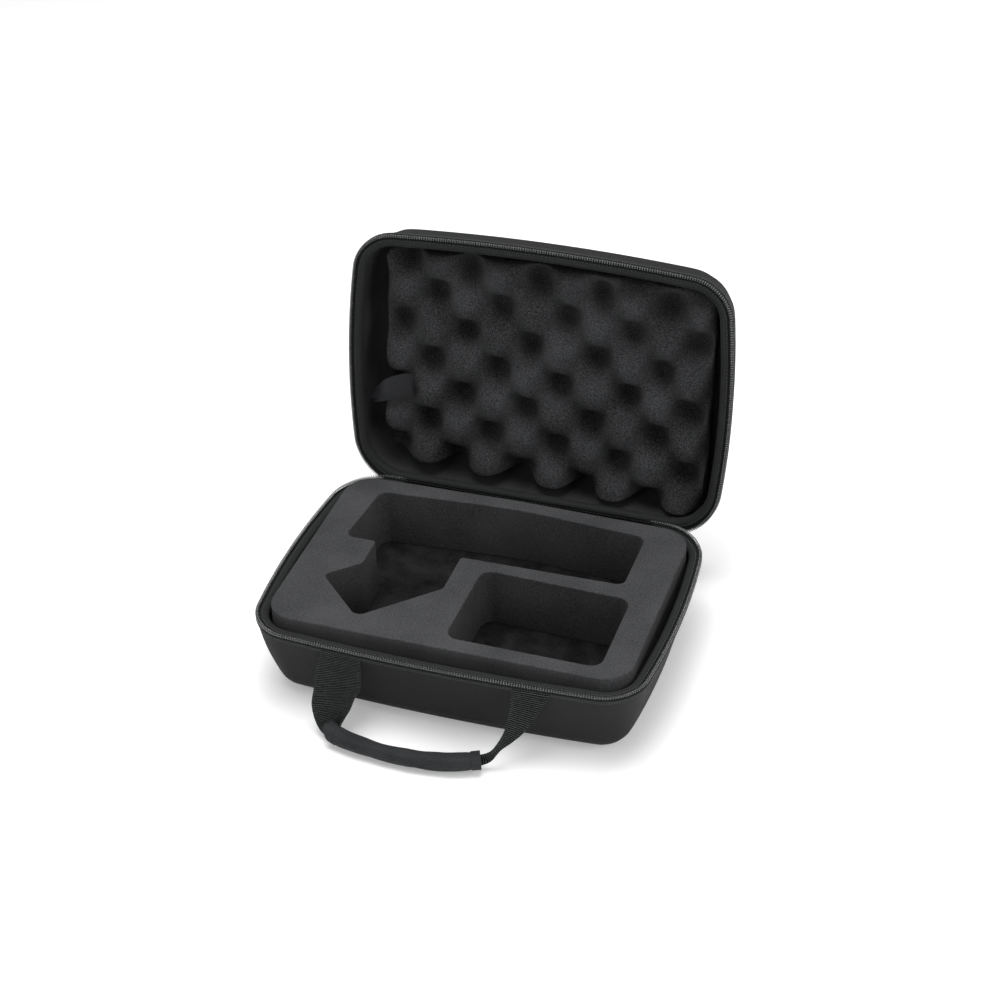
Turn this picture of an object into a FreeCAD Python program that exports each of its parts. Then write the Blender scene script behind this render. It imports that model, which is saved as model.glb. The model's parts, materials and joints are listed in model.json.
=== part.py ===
"""Soft-shell zip carry case: drafted EVA shells, foam insert, egg-crate lid pad, fabric hinge, zip and webbing handle.

Row frame: origin at the centre of the flat underside, X along the length, -Y the handle side, +Y the hinge side, +Z up.
The lid is modelled shut, above the base, and then swung open by lid_open_deg about the fold line of the hinge fabric.
"""
import FreeCAD, Part
import math
import os
from FreeCAD import Vector

# ---- driving dimensions, mm ----
case_length = 300.0        # over the zip line, at mid width
case_width = 212.0         # over the zip line, at mid length
front_bow = 7.0            # how far the front edge bows out over its length
side_bow = 8.8             # how far each end bows out over the width
front_corner_r = 34.0
back_corner_r = 40.0
rim_z = 63.0               # height of the base's zip line
lid_depth = 42.0           # from the lid's zip line to its flat top
base_draft_deg = 14.5      # slope of the shell walls
lid_draft_deg = 8.5
base_edge_r = 20.0         # rounding between base walls and underside
lid_edge_r = 20.0
wall_inset = 0.6           # shell wall inside the zip line, at the zip line
shell_t = 3.2              # moulded EVA board with its outer fabric
lining_t = 0.8
edge_drop = 2.4            # shell edge below the zip line
coil_r = 1.5
zip_gap = 3.4              # between the two zip lines when shut

tape_t = 0.7
tape_top = 1.6             # tape surface below the zip line
tape_drop = 5.6            # lower edge of the tape's outer strip
binding_out = 2.8          # binding, measured in from the zip line
binding_in = 10.2
binding_top = 0.5
binding_bottom = 9.0

foam_top_z = rim_z + 8.0
pocket_floor_z = 24.2
foam_half_x = 134.0
foam_front_y = -90.0
foam_back_y = 93.0
foam_corner_r = 22.0
foam_clear = 0.3

egg_peak_depth = 7.0       # foam peaks below the lid's zip line
egg_x = (-124.0, 130.0)
egg_y = (-88.0, 86.0)

lid_open_deg = 98.0
fold_y = case_width / 2 - 2.6
fold_z = rim_z - 11.0
hinge_half = 80.0
hinge_t = 1.0
chain_end = 99.5           # where the zip coils start, either side of the hinge

strap_x = 69.0
strap_w = 30.0
strap_t = 1.8
swing_y = -103.7
swing_z = 53.6

slider_x = 89.0            # sliders parked past the ends of the coils
slider_len = 12.0
slider_w = 10.0

base_slope = math.tan(math.radians(base_draft_deg))
lid_slope = math.tan(math.radians(lid_draft_deg))
half_l = case_length / 2
half_w = case_width / 2
os.makedirs("parts", exist_ok=True)


def save(name, shape):
    shape = shape.removeSplitter()
    bad = "" if shape.isValid() else "  NOT VALID"
    print(f"{name}: {len(shape.Solids)} solid, {shape.Volume / 1000:.1f} cm3{bad}")
    shape.exportStep(f"parts/{name}.step")


# ---- the case outline: a straight back, bowed front and ends, round corners ----
front_r = (half_l ** 2 + front_bow ** 2) / (2 * front_bow)
side_r = (half_w ** 2 + side_bow ** 2) / (2 * side_bow)
front_c = Vector(0, front_r - half_w, 0)
side_c = Vector(half_l - side_r, 0, 0)


def front_corner_centre():
    """Centre of the right front corner, touching the front and end arcs from inside."""
    r1, r2 = front_r - front_corner_r, side_r - front_corner_r
    line = side_c - front_c
    dist = line.Length
    along = (r1 ** 2 - r2 ** 2 + dist ** 2) / (2 * dist)
    up = math.sqrt(r1 ** 2 - along ** 2)
    unit = line / dist
    foot = front_c + unit * along
    choices = [foot + Vector(-unit.y, unit.x, 0) * up, foot - Vector(-unit.y, unit.x, 0) * up]
    return max(choices, key=lambda p: p.x - p.y)


corner_f = front_corner_centre()
corner_b_y = half_w - back_corner_r
corner_b = Vector(side_c.x + math.sqrt((side_r - back_corner_r) ** 2 - corner_b_y ** 2), corner_b_y, 0)


def arc_between(centre, radius, p1, p2):
    """Arc about centre from p1 to p2, through the middle of the short way round."""
    mid = (p1 - centre) + (p2 - centre)
    return Part.Arc(p1, centre + mid / mid.Length * radius, p2).toShape()


def outline_points(inset):
    """Right-hand tangent points of the outline, front to back, at this inset."""
    def reach(centre, through, radius):
        step = through - centre
        return centre + step / step.Length * radius
    return [reach(front_c, corner_f, front_r - inset), reach(side_c, corner_f, side_r - inset),
            reach(side_c, corner_b, side_r - inset), corner_b + Vector(0, back_corner_r - inset, 0)]


def mirror_x(p):
    return Vector(-p.x, p.y, p.z)


def outline_edges(inset):
    """Outline edges in order, from the middle of the back clockwise round to the start."""
    p0, p1, p2, p3 = outline_points(inset)
    rf, rb = front_corner_r - inset, back_corner_r - inset
    right = [arc_between(corner_b, rb, p3, p2), arc_between(side_c, side_r - inset, p2, p1),
             arc_between(corner_f, rf, p1, p0)]
    front = [arc_between(front_c, front_r - inset, p0, mirror_x(p0))]
    mf, ms, mb = mirror_x(corner_f), mirror_x(side_c), mirror_x(corner_b)
    left = [arc_between(mf, rf, mirror_x(p0), mirror_x(p1)),
            arc_between(ms, side_r - inset, mirror_x(p1), mirror_x(p2)),
            arc_between(mb, rb, mirror_x(p2), mirror_x(p3))]
    return right + front + left, p3, mirror_x(p3)


def outline_wire(inset, z):
    edges, start, end = outline_edges(inset)
    wire = Part.Wire(edges + [Part.LineSegment(end, start).toShape()])
    wire.translate(Vector(0, 0, z))
    return wire


def drafted(inset_a, z_a, inset_b, z_b):
    return Part.makeLoft([outline_wire(inset_a, z_a), outline_wire(inset_b, z_b)], True, True)


def box(x, y, z):
    return Part.makeBox(x[1] - x[0], y[1] - y[0], z[1] - z[0], Vector(x[0], y[0], z[0]))


# ---- tubs: z is measured away from the zip line, so the same code makes base and lid ----
def tub(extra, top, depth, edge_r, slope):
    """Closed tub shape, `extra` inside the shell's outer face, from `top` down to `depth`."""
    side = wall_inset + extra
    solid = drafted(side + top * slope, -top, side + depth * slope, -depth)
    low = [e for e in solid.Edges if e.BoundBox.ZMax < -depth + 0.01]
    return solid.makeFillet(edge_r, low)


def ring(inset_out, inset_in, top, bottom):
    outer = drafted(inset_out, -top, inset_out, -bottom)
    return outer.cut(drafted(inset_in, -top + 1, inset_in, -bottom - 1))


def shell_half(depth, edge_r, slope):
    outer = tub(0, edge_drop, depth, edge_r, slope)
    return outer.cut(tub(shell_t, edge_drop - 2, depth - shell_t, edge_r - shell_t, slope))


def lining_half(depth, edge_r, slope):
    inner = depth - shell_t
    outer = tub(shell_t, edge_drop, inner, edge_r - shell_t, slope)
    return outer.cut(tub(shell_t + lining_t, edge_drop - 2, inner - lining_t, edge_r - shell_t - lining_t, slope))


def tape_half(slope):
    """Zip tape folded over the shell edge: a flat under the coil and a strip down the outside."""
    flat = ring(0.2, shell_t + 1.2, tape_top, edge_drop)
    skirt = drafted(0.2, -edge_drop, wall_inset + tape_drop * slope - tape_t, -tape_drop)
    wall = drafted(wall_inset + edge_drop * slope, -edge_drop, wall_inset + (tape_drop + 2) * slope,
                   -tape_drop - 2)
    tape = flat.fuse(skirt.cut(wall))
    return tape.cut(box((-chain_end + 1, chain_end - 1), (half_w - 45, half_w + 5), (-20, 5)))


def binding_half(slope):
    """Piping round the mouth: over the tape's inner edge and down inside the lining."""
    band = ring(binding_out, binding_in, binding_top, binding_bottom)
    inner = shell_t + lining_t + wall_inset
    core = drafted(inner + tape_top * slope, -tape_top, inner + 12 * slope, -12)
    outside = drafted(-5, -tape_top, -5, -12).cut(core)
    return band.cut(outside)


def coil_half():
    """Envelope of the zip coil along the rim, open across the hinge."""
    edges, start, end = outline_edges(0)
    first = Part.LineSegment(Vector(chain_end, half_w, 0), start).toShape()
    last = Part.LineSegment(end, Vector(-chain_end, half_w, 0)).toShape()
    path = Part.Wire([first] + edges + [last])
    circle = Part.Wire(Part.makeCircle(coil_r, Vector(chain_end, half_w, 0), Vector(1, 0, 0)))
    return path.makePipeShell([circle], True, True)


def stops_half():
    """Crimped end stops just before each end of the coil."""
    size = coil_r - 0.1
    solids = [box(sorted((s * (chain_end - 2), s * (chain_end - 0.1))), (half_w - size, half_w + size),
                  (-size, size)) for s in (-1, 1)]
    return Part.makeCompound([s.makeFillet(0.6, s.Edges) for s in solids])


def to_base(shape):
    shape.translate(Vector(0, 0, rim_z))
    return shape


def to_shut_lid(shape):
    """Mirror a half over the closing plane."""
    flipped = shape.mirror(Vector(0, 0, 0), Vector(0, 0, 1))
    flipped.translate(Vector(0, 0, rim_z + zip_gap))
    return flipped


def open_lid(shape):
    shape.rotate(Vector(0, fold_y, fold_z), Vector(1, 0, 0), -lid_open_deg)
    return shape


# ---- shells, linings, bindings, tapes and coils ----
save("base_shell", to_base(shell_half(rim_z, base_edge_r, base_slope)))
save("base_lining", to_base(lining_half(rim_z, base_edge_r, base_slope)))
save("base_rim_binding", to_base(binding_half(base_slope)))
save("base_zip_tape", to_base(tape_half(base_slope)))
save("base_zip_coil", to_base(coil_half()))
save("base_zip_stops", to_base(stops_half()))
save("lid_shell", open_lid(to_shut_lid(shell_half(lid_depth, lid_edge_r, lid_slope))))
save("lid_lining", open_lid(to_shut_lid(lining_half(lid_depth, lid_edge_r, lid_slope))))
save("lid_rim_binding", open_lid(to_shut_lid(binding_half(lid_slope))))
save("lid_zip_tape", open_lid(to_shut_lid(tape_half(lid_slope))))
save("lid_zip_coil", open_lid(to_shut_lid(coil_half())))
save("lid_zip_stops", open_lid(to_shut_lid(stops_half())))


# ---- foam insert in the base ----
def rounded_prism(corners, z0, z1):
    """Prism over corner points (x, y, radius), each corner rounded."""
    points = [Vector(x, y, z0) for x, y, _ in corners]
    edges, ends = [], []
    count = len(points)
    for i, (_, _, radius) in enumerate(corners):
        before, at, after = points[i - 1], points[i], points[(i + 1) % count]
        u = (before - at).normalize()
        v = (after - at).normalize()
        half = u.getAngle(v) / 2
        cut = radius / math.tan(half)
        bis = (u + v).normalize()
        mid = at + bis * (radius / math.sin(half) - radius)
        ends.append((at + u * cut, mid, at + v * cut))
    for i, (p, mid, q) in enumerate(ends):
        edges.append(Part.Arc(p, mid, q).toShape())
        edges.append(Part.LineSegment(q, ends[(i + 1) % count][0]).toShape())
    return Part.Face(Part.Wire(edges)).extrude(Vector(0, 0, z1 - z0))


foam_outline = [(foam_half_x, foam_front_y, foam_corner_r), (foam_half_x, foam_back_y - 3, foam_corner_r),
                (0, foam_back_y, 400), (-foam_half_x, foam_back_y - 3, foam_corner_r),
                (-foam_half_x, foam_front_y, foam_corner_r)]
long_pocket = [(102.0, 15.5, 6), (102.0, 75.0, 8), (0, 82.0, 400), (-106.0, 74.5, 8), (-111.5, 14.5, 6),
               (-87.0, 14.5, 2.5), (-87.0, -13.5, 8), (-109.0, -34.5, 4), (-69.0, -73.0, 7), (-20.5, -25.5, 5),
               (-20.5, 13.5, 2.5)]
square_pocket = [(112.0, -78.0, 9), (112.0, 0.0, 9), (0, 3.5, 9), (-1.0, -77.0, 9)]
cavity = to_base(tub(shell_t + lining_t + foam_clear, -12, rim_z - shell_t - lining_t - foam_clear,
                     base_edge_r - shell_t - lining_t, base_slope))
insert = rounded_prism(foam_outline, pocket_floor_z, foam_top_z).common(cavity)
for pocket in (long_pocket, square_pocket):
    insert = insert.cut(rounded_prism(pocket, pocket_floor_z - 1, foam_top_z + 1))
save("base_foam_insert", insert)
save("base_foam_floor", cavity.common(box((-200, 200), (-150, 150), (0, pocket_floor_z - 0.1))))

# ---- lid pad and care label ----
lid_inner = to_shut_lid(tub(shell_t + lining_t + foam_clear, 0, lid_depth - shell_t - lining_t - foam_clear,
                            lid_edge_r - shell_t - lining_t, lid_slope))
pad_face_z = rim_z + zip_gap + egg_peak_depth
mouth = to_shut_lid(drafted(binding_in + foam_clear, 0, binding_in + foam_clear, -lid_depth))
pad = box(egg_x, egg_y, (pad_face_z, rim_z + 60)).common(lid_inner).common(mouth)
save("lid_foam_pad", open_lid(pad))

label_size = (40.0, 18.0, 1.0)
label = Part.makeBox(*label_size, Vector(-136.0, 14.0, rim_z + zip_gap + 5.4))
label.rotate(Vector(-136.0, 23.0, 0), Vector(0, 0, 1), -8)
save("label_tag", open_lid(label))


# ---- hinge fabric: a strip from the fold line to the lid, and the hem sewn to the base ----
def strip_profile(points, x_half):
    """Strip of thickness hinge_t along a path in the YZ plane, round ends, extruded along X."""
    solid = None
    for a, b in zip(points, points[1:]):
        along = (b - a).normalize()
        side = Vector(0, -along.z, along.y) * (hinge_t / 2)
        face = Part.Face(Part.makePolygon([a + side, b + side, b - side, a - side, a + side]))
        piece = face.extrude(Vector(2 * x_half, 0, 0))
        solid = piece if solid is None else solid.fuse(piece)
    for p in points:
        solid = solid.fuse(Part.makeCylinder(hinge_t / 2, 2 * x_half, p, Vector(1, 0, 0)))
    return solid


shut_z = rim_z + zip_gap / 2
lid_seam_z = 2 * shut_z - fold_z
knee_y = half_w + 0.9
lid_seam_y = half_w - wall_inset - (lid_seam_z - rim_z - zip_gap) * lid_slope + hinge_t / 2 + 0.2
strip_path = [Vector(-hinge_half, fold_y, fold_z), Vector(-hinge_half, knee_y, shut_z),
              Vector(-hinge_half, lid_seam_y, lid_seam_z),
              Vector(-hinge_half, lid_seam_y - 6 * lid_slope, lid_seam_z + 6)]
save("hinge_strip", open_lid(strip_profile(strip_path, hinge_half)))

hem_t = 0.6
hem_top = fold_z - 1.8
hem_y = fold_y - (hinge_t + 0.7) / 2 - (fold_z - hem_top) * base_slope + 0.03
hem = Part.Face(Part.makePolygon([
    Vector(-hinge_half, hem_y, hem_top), Vector(-hinge_half, hem_y + hem_t, hem_top),
    Vector(-hinge_half, hem_y + hem_t - 8 * base_slope, hem_top - 8),
    Vector(-hinge_half, hem_y - 8 * base_slope, hem_top - 8), Vector(-hinge_half, hem_y, hem_top)]))
save("hinge_base_hem", hem.extrude(Vector(2 * hinge_half, 0, 0)))


# ---- zip sliders and pulls, parked past the coil ends, carried by the lid ----
def slider(side):
    """Slider: outer and inner plates joined by a web, outer flanges and the bail that holds the pull."""
    cx = side * slider_x
    x = (cx - slider_len / 2, cx + slider_len / 2)
    out = half_w + 2.1
    plate = box(x, (out, out + 1.3), (shut_z - slider_w / 2, shut_z + slider_w / 2))
    plate = plate.makeFillet(2.4, [e for e in plate.Edges if abs(e.Vertexes[0].Y - e.Vertexes[1].Y) > 1])
    for s in (-1, 1):
        edge = sorted((shut_z + s * (slider_w / 2 - 0.8), shut_z + s * slider_w / 2))
        plate = plate.fuse(box((x[0] + 2.6, x[1] - 2.6), (out - 1.4, out + 0.2), edge))
    inner = box((x[0] + 1, x[1] - 1), (half_w - 3.4, half_w - 2.3), (shut_z - 1.6, shut_z + 1.6))
    web = box((cx - 2, cx + 2), (half_w - 2.5, out + 0.2), (shut_z - 0.15, shut_z + 0.15))
    body = plate.fuse([inner, web])
    pin_y = out + 1.3 + 2.4
    for s in (-1, 1):
        post = box((cx - 1.4, cx + 1.4), (out + 1, pin_y + 1.4), sorted((shut_z + s * 2.4, shut_z + s * 3.6)))
        body = body.fuse(post)
    pin = Part.makeCylinder(0.8, 5.4, Vector(cx, pin_y, shut_z - 2.7), Vector(0, 0, 1))
    return body.fuse(pin), Vector(cx, pin_y, shut_z)


def pull(pin):
    """Pull tab: an eye round the slider's pin and a tapered paddle with a slot."""
    def across(width, y0, y1, w0, w1):
        face = Part.Face(Part.makePolygon([Vector(pin.x - width / 2, y0, pin.z - w0 / 2),
                                           Vector(pin.x - width / 2, y0, pin.z + w0 / 2),
                                           Vector(pin.x - width / 2, y1, pin.z + w1 / 2),
                                           Vector(pin.x - width / 2, y1, pin.z - w1 / 2),
                                           Vector(pin.x - width / 2, y0, pin.z - w0 / 2)]))
        return face.extrude(Vector(width, 0, 0))
    eye = Part.makeCylinder(1.9, 4.2, pin - Vector(0, 0, 2.1), Vector(0, 0, 1))
    neck = across(1.8, pin.y + 0.5, pin.y + 4.5, 4.0, 4.0)
    paddle = across(1.8, pin.y + 4.0, pin.y + 17.0, 4.6, 8.0)
    corners = [e for e in paddle.Edges if e.BoundBox.YLength < 0.01 and e.BoundBox.ZLength < 0.01]
    paddle = paddle.makeFillet(1.2, corners)
    body = eye.fuse([neck, paddle])
    body = body.cut(Part.makeCylinder(0.88, 6, pin - Vector(0, 0, 3), Vector(0, 0, 1)))
    return body.cut(across(4, pin.y + 8.0, pin.y + 13.5, 2.4, 3.2))


for side, name in ((-1, "left"), (1, "right")):
    slider_body, pin_point = slider(side)
    save(f"zip_slider_{name}", open_lid(slider_body))
    save(f"zip_pull_{name}", open_lid(pull(pin_point)))


# ---- handle: two webbing straps and a sleeved grip, swinging about their seams under the zip tape ----
x_axis = Vector(1, 0, 0)
grip_path = [Vector(-62, -128, 8.4), Vector(-40, -133, 7.6), Vector(-10, -136, 7.4), Vector(16, -134, 7.6),
             Vector(38, -128, 8.8)]
strap_down = (Vector(0, grip_path[0].y, grip_path[0].z) - Vector(0, swing_y, swing_z)).normalize()
left_strap = [(-54, 0), (-56, 26), (-60, 40), (-63.6, 46), (-63.6, 58), (-72, 57), (-82, 44), (-87, 28), (-84, 0)]
right_strap = [(54, 0), (54, 22), (48, 37), (40, 46), (40, 57), (52, 55), (68, 42), (80, 22), (84, 0)]


def strap(root_x, outline):
    """Flat webbing below the swing line; outline points are (x, distance below the swing line)."""
    through = x_axis.cross(strap_down) * (strap_t / 2)
    root = Vector(0, swing_y, swing_z) - through
    points = [root + x_axis * x + strap_down * t for x, t in outline]
    band = Part.Face(Part.makePolygon(points + points[:1])).extrude(through * 2)
    edge = Part.makeCylinder(strap_t / 2, strap_w, Vector(root_x - strap_w / 2, swing_y, swing_z), x_axis)
    return band.fuse(edge)


save("handle_strap_left", strap(-strap_x, left_strap))
save("handle_strap_right", strap(strap_x, right_strap))


def grip_run(width, thick, inner=None):
    """Loft of rounded sections along the grip, optionally hollowed for the webbing inside."""
    def ellipse(p, major, minor):
        wire = Part.Wire(Part.Ellipse(Vector(0, 0, 0), major / 2, minor / 2).toShape())
        wire.Placement = FreeCAD.Placement(p, FreeCAD.Rotation(Vector(0, 0.35, 1), x_axis, x_axis, "XZY"))
        return wire
    body = Part.makeLoft([ellipse(p, width, thick) for p in grip_path], True, False)
    if inner:
        longer = [grip_path[0] - Vector(1, 0, 0)] + grip_path[1:-1] + [grip_path[-1] + Vector(1, 0, 0)]
        body = body.cut(Part.makeLoft([ellipse(p, *inner) for p in longer], True, False))
    return body


save("handle_grip_sleeve", grip_run(14.6, 12.0, (12.0, 9.4)))
save("handle_grip_core", grip_run(11.2, 8.6))

stub_top = rim_z - tape_drop - 0.3
for side, name in ((-1, "left"), (1, "right")):
    stub = box(sorted((side * (strap_x - strap_w / 2), side * (strap_x + strap_w / 2))), (-107, -98),
               (swing_z + 1.9, stub_top))
    wall = tub(-strap_t, edge_drop, rim_z, base_edge_r, base_slope)
    skin = to_base(wall.cut(tub(-0.02, edge_drop - 2, rim_z, base_edge_r, base_slope)))
    save(f"handle_anchor_{name}", stub.common(skin))
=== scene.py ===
"""Looks of the zip carry case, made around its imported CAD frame.

A half of the case is described by insets from the zip line and heights above it, so the same kind of section
makes the base and, turned over, the lid.
"""

import json
import math

import bmesh
import bpy
import numpy as np
from mathutils import Matrix, Vector


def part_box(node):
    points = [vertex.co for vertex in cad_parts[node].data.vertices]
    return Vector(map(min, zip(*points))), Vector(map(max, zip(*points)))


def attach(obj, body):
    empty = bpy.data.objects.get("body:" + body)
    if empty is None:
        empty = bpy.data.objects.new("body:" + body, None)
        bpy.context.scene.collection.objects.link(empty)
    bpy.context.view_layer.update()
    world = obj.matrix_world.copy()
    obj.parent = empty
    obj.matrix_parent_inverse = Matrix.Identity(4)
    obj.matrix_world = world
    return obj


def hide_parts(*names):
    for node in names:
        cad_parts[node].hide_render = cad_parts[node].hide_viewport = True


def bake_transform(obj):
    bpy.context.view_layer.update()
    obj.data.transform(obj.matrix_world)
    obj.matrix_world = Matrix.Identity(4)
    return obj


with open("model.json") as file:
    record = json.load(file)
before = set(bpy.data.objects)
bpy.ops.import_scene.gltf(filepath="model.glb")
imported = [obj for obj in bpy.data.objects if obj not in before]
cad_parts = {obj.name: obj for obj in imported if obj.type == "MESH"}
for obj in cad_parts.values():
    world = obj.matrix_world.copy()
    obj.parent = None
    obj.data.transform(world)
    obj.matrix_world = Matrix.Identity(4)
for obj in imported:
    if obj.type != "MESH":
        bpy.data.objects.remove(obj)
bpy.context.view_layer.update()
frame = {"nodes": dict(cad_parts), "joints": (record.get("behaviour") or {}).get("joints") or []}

MM = 0.001

# ---- driving dimensions ----
COIL_R = 1.5               # outside radius of the zip coil
TOOTH_PITCH = 1.87
FRONT_BOW = 7.0            # how far the front edge bows out at its middle
SIDE_BOW = 8.8             # the same for each end of the case
FRONT_CORNER_R = 34.0
BACK_CORNER_R = 40.0
ZIP_GAP = 3.4              # between the two zip lines when shut
BASE_SLOPE = math.tan(math.radians(14.5))
LID_SLOPE = math.tan(math.radians(8.5))
WALL_INSET = 0.6           # shell's outer face at the rim, in from the zip line
SHELL_T = 3.2
LINING_T = 0.8
FOAM_CLEAR = 0.3
EDGE_DROP = 2.4            # shell's upper edge, below the zip line
BASE_EDGE_R = 20.0
LID_EDGE_R = 20.0
LID_DEPTH = 42.0
CHAIN_END = 99.5           # where the coil starts, along the back from its middle
STEP = 3.0                 # spacing of sections along the rim


def corners_mm(node):
    """Lowest and highest corner of a CAD node, in millimetres."""
    return [np.array(c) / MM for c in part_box(node)]


coil_low, coil_high = corners_mm("base_zip_coil")
half_l = round(coil_high[0] - COIL_R, 1)
half_w = round(coil_high[1] - COIL_R, 1)
rim_z = round((coil_low[2] + coil_high[2]) / 2, 1)
joints = {j["name"]: j for j in frame["joints"]}
fold = np.array(joints["lid_hinge"]["pos_m"]) / MM
lid_open = math.radians(joints["lid_hinge"]["range_deg"][1])
foam_low, foam_high = corners_mm("base_foam_insert")


# ---- small helpers ----
def unit(v):
    return v / np.maximum(np.linalg.norm(v, axis=-1, keepdims=True), 1e-9)


def ease(x):
    """Smooth step from 0 to 1."""
    return x ** 2 * (3 - 2 * x)


def run_of(section, closed=False):
    """Running length along a list of points."""
    section = np.asarray(section, float)
    if closed:
        section = np.vstack([section, section[:1]])
    return np.concatenate([[0], np.cumsum(np.linalg.norm(np.diff(section, axis=0), axis=1))])


def at_run(at, run, values):
    """Rows of values, given at the lengths run, read at the lengths at."""
    return np.column_stack([np.interp(at, run, column) for column in values.T])


def uv_grid(run, across):
    return np.dstack(np.meshgrid(run, across, indexing="ij"))


def to_scene(thing):
    bpy.context.scene.collection.objects.link(thing)


# ---- the zip line: a straight back, bowed front and ends, round corners ----
def corner_centres():
    """Centres of the front arc, end arc, right front corner and right back corner."""
    front_r = (half_l ** 2 + FRONT_BOW ** 2) / (2 * FRONT_BOW)
    side_r = (half_w ** 2 + SIDE_BOW ** 2) / (2 * SIDE_BOW)
    front_c = np.array([0, front_r - half_w])
    side_c = np.array([half_l - side_r, 0])
    r1, r2 = front_r - FRONT_CORNER_R, side_r - FRONT_CORNER_R
    line = side_c - front_c
    dist = np.linalg.norm(line)
    along = (r1 ** 2 - r2 ** 2 + dist ** 2) / (2 * dist)
    up = math.sqrt(r1 ** 2 - along ** 2)
    ahead = line / dist
    across = np.array([-ahead[1], ahead[0]])
    choices = [front_c + ahead * along + across * up, front_c + ahead * along - across * up]
    corner_f = max(choices, key=lambda p: p[0] - p[1])
    corner_b_y = half_w - BACK_CORNER_R
    corner_b = np.array([side_c[0] + math.sqrt((side_r - BACK_CORNER_R) ** 2 - corner_b_y ** 2), corner_b_y])
    return front_c, front_r, side_c, side_r, corner_f, corner_b


def heading(a, b):
    return math.atan2(b[1] - a[1], b[0] - a[0])


def zip_line():
    """Dense points, outward normals and run length, from the back's middle round by the right end."""
    front_c, front_r, side_c, side_r, corner_f, corner_b = corner_centres()
    turn_b, turn_f = heading(side_c, corner_b), heading(side_c, corner_f)
    turn_0 = heading(front_c, corner_f)
    arcs = [(corner_b, BACK_CORNER_R, math.pi / 2, turn_b), (side_c, side_r, turn_b, turn_f),
            (corner_f, FRONT_CORNER_R, turn_f, turn_0), (front_c, front_r, turn_0, -math.pi / 2)]
    x = np.arange(0, corner_b[0], 0.5)
    points = [np.column_stack([x, np.full(len(x), half_w)])]
    normals = [np.column_stack([np.zeros(len(x)), np.ones(len(x))])]
    for centre, radius, start, end in arcs:
        turn = np.linspace(start, end, math.ceil(abs(end - start) * radius / 0.5), endpoint=False)
        normal = np.column_stack([np.cos(turn), np.sin(turn)])
        points.append(centre + normal * radius)
        normals.append(normal)
    points, normals = np.vstack(points), np.vstack(normals)
    mirror = np.array([-1, 1])
    points = np.vstack([points, [[0, -half_w]], points[::-1] * mirror])
    normals = np.vstack([normals, [[0, -1.0]], normals[::-1] * mirror])
    return points, normals, run_of(points)


line_points, line_normals, line_run = zip_line()
rim_length = line_run[-1]


def stations(start, end, step):
    """Evenly spaced points, normals and run lengths on the zip line between two run lengths."""
    run = np.linspace(start, end, max(2, round((end - start) / step) + 1))
    return at_run(run, line_run, line_points), unit(at_run(run, line_run, line_normals)), run


def corner_share(run):
    """1 in the middle of the round corners, 0 along the sides."""
    _, normals, at = stations(0, rim_length, 2.0)
    bend = np.linalg.norm(np.gradient(normals, at, axis=0), axis=1)
    soft = np.convolve(np.pad(bend, 8, mode="wrap"), np.hanning(17) / np.hanning(17).sum(), "valid")
    return np.interp(run % rim_length, at, np.clip(soft * FRONT_CORNER_R, 0, 1)) ** 2


# ---- placing the two halves ----
def base_place(v):
    return v + np.array([0, 0, rim_z])


def lid_place(v):
    """Turns a half over, sets it on the closing plane and opens it about the fold line."""
    v = v * np.array([1, 1, -1]) + np.array([0, 0, rim_z + ZIP_GAP])
    y, z = v[..., 1] - fold[1], v[..., 2] - fold[2]
    c, s = math.cos(lid_open), math.sin(lid_open)
    return np.stack([v[..., 0], fold[1] + y * c + z * s, fold[2] - y * s + z * c], axis=-1)


HALVES = {
    "base": (base_place, rim_z, BASE_EDGE_R, BASE_SLOPE),
    "lid": (lid_place, LID_DEPTH, LID_EDGE_R, LID_SLOPE),
}


# ---- meshes ----
def grid_piece(name, points, uv, loop_rows=False, loop_cols=False, capped=False, sharp_deg=40):
    """Surface over a grid of points (rows, columns, xyz). uv is one longer each way where the grid closes."""
    rows, cols = points.shape[:2]
    i, j = np.meshgrid(np.arange(rows - (not loop_rows)), np.arange(cols - (not loop_cols)), indexing="ij")
    steps = ((0, 0), (0, 1), (1, 1), (1, 0))
    quads = np.stack([((i + a) % rows) * cols + (j + b) % cols for a, b in steps], axis=-1).reshape(-1, 4)
    corner_uv = np.stack([uv[i + a, j + b] for a, b in steps], axis=2).reshape(-1, 2)
    faces = quads.tolist()
    if capped:
        faces += [list(range(cols))[::-1], list(range((rows - 1) * cols, rows * cols))]
        corner_uv = np.vstack([corner_uv, np.zeros((2 * cols, 2))])
    mesh = bpy.data.meshes.new(name)
    mesh.from_pydata((points.reshape(-1, 3) * MM).tolist(), [], faces)
    mesh.uv_layers.new(name="cloth").data.foreach_set("uv", corner_uv.ravel())
    return mesh_piece(name, mesh, sharp_deg)


def mesh_piece(name, mesh, sharp_deg=40):
    """Cleans a mesh, turns its faces outward and puts it in the scene."""
    work = bmesh.new()
    work.from_mesh(mesh)
    bmesh.ops.remove_doubles(work, verts=work.verts, dist=1e-6)
    bmesh.ops.recalc_face_normals(work, faces=work.faces)
    work.to_mesh(mesh)
    work.free()
    mesh.shade_smooth()
    mesh.set_sharp_from_angle(angle=math.radians(sharp_deg))
    piece = bpy.data.objects.new(name, mesh)
    to_scene(piece)
    return piece


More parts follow.
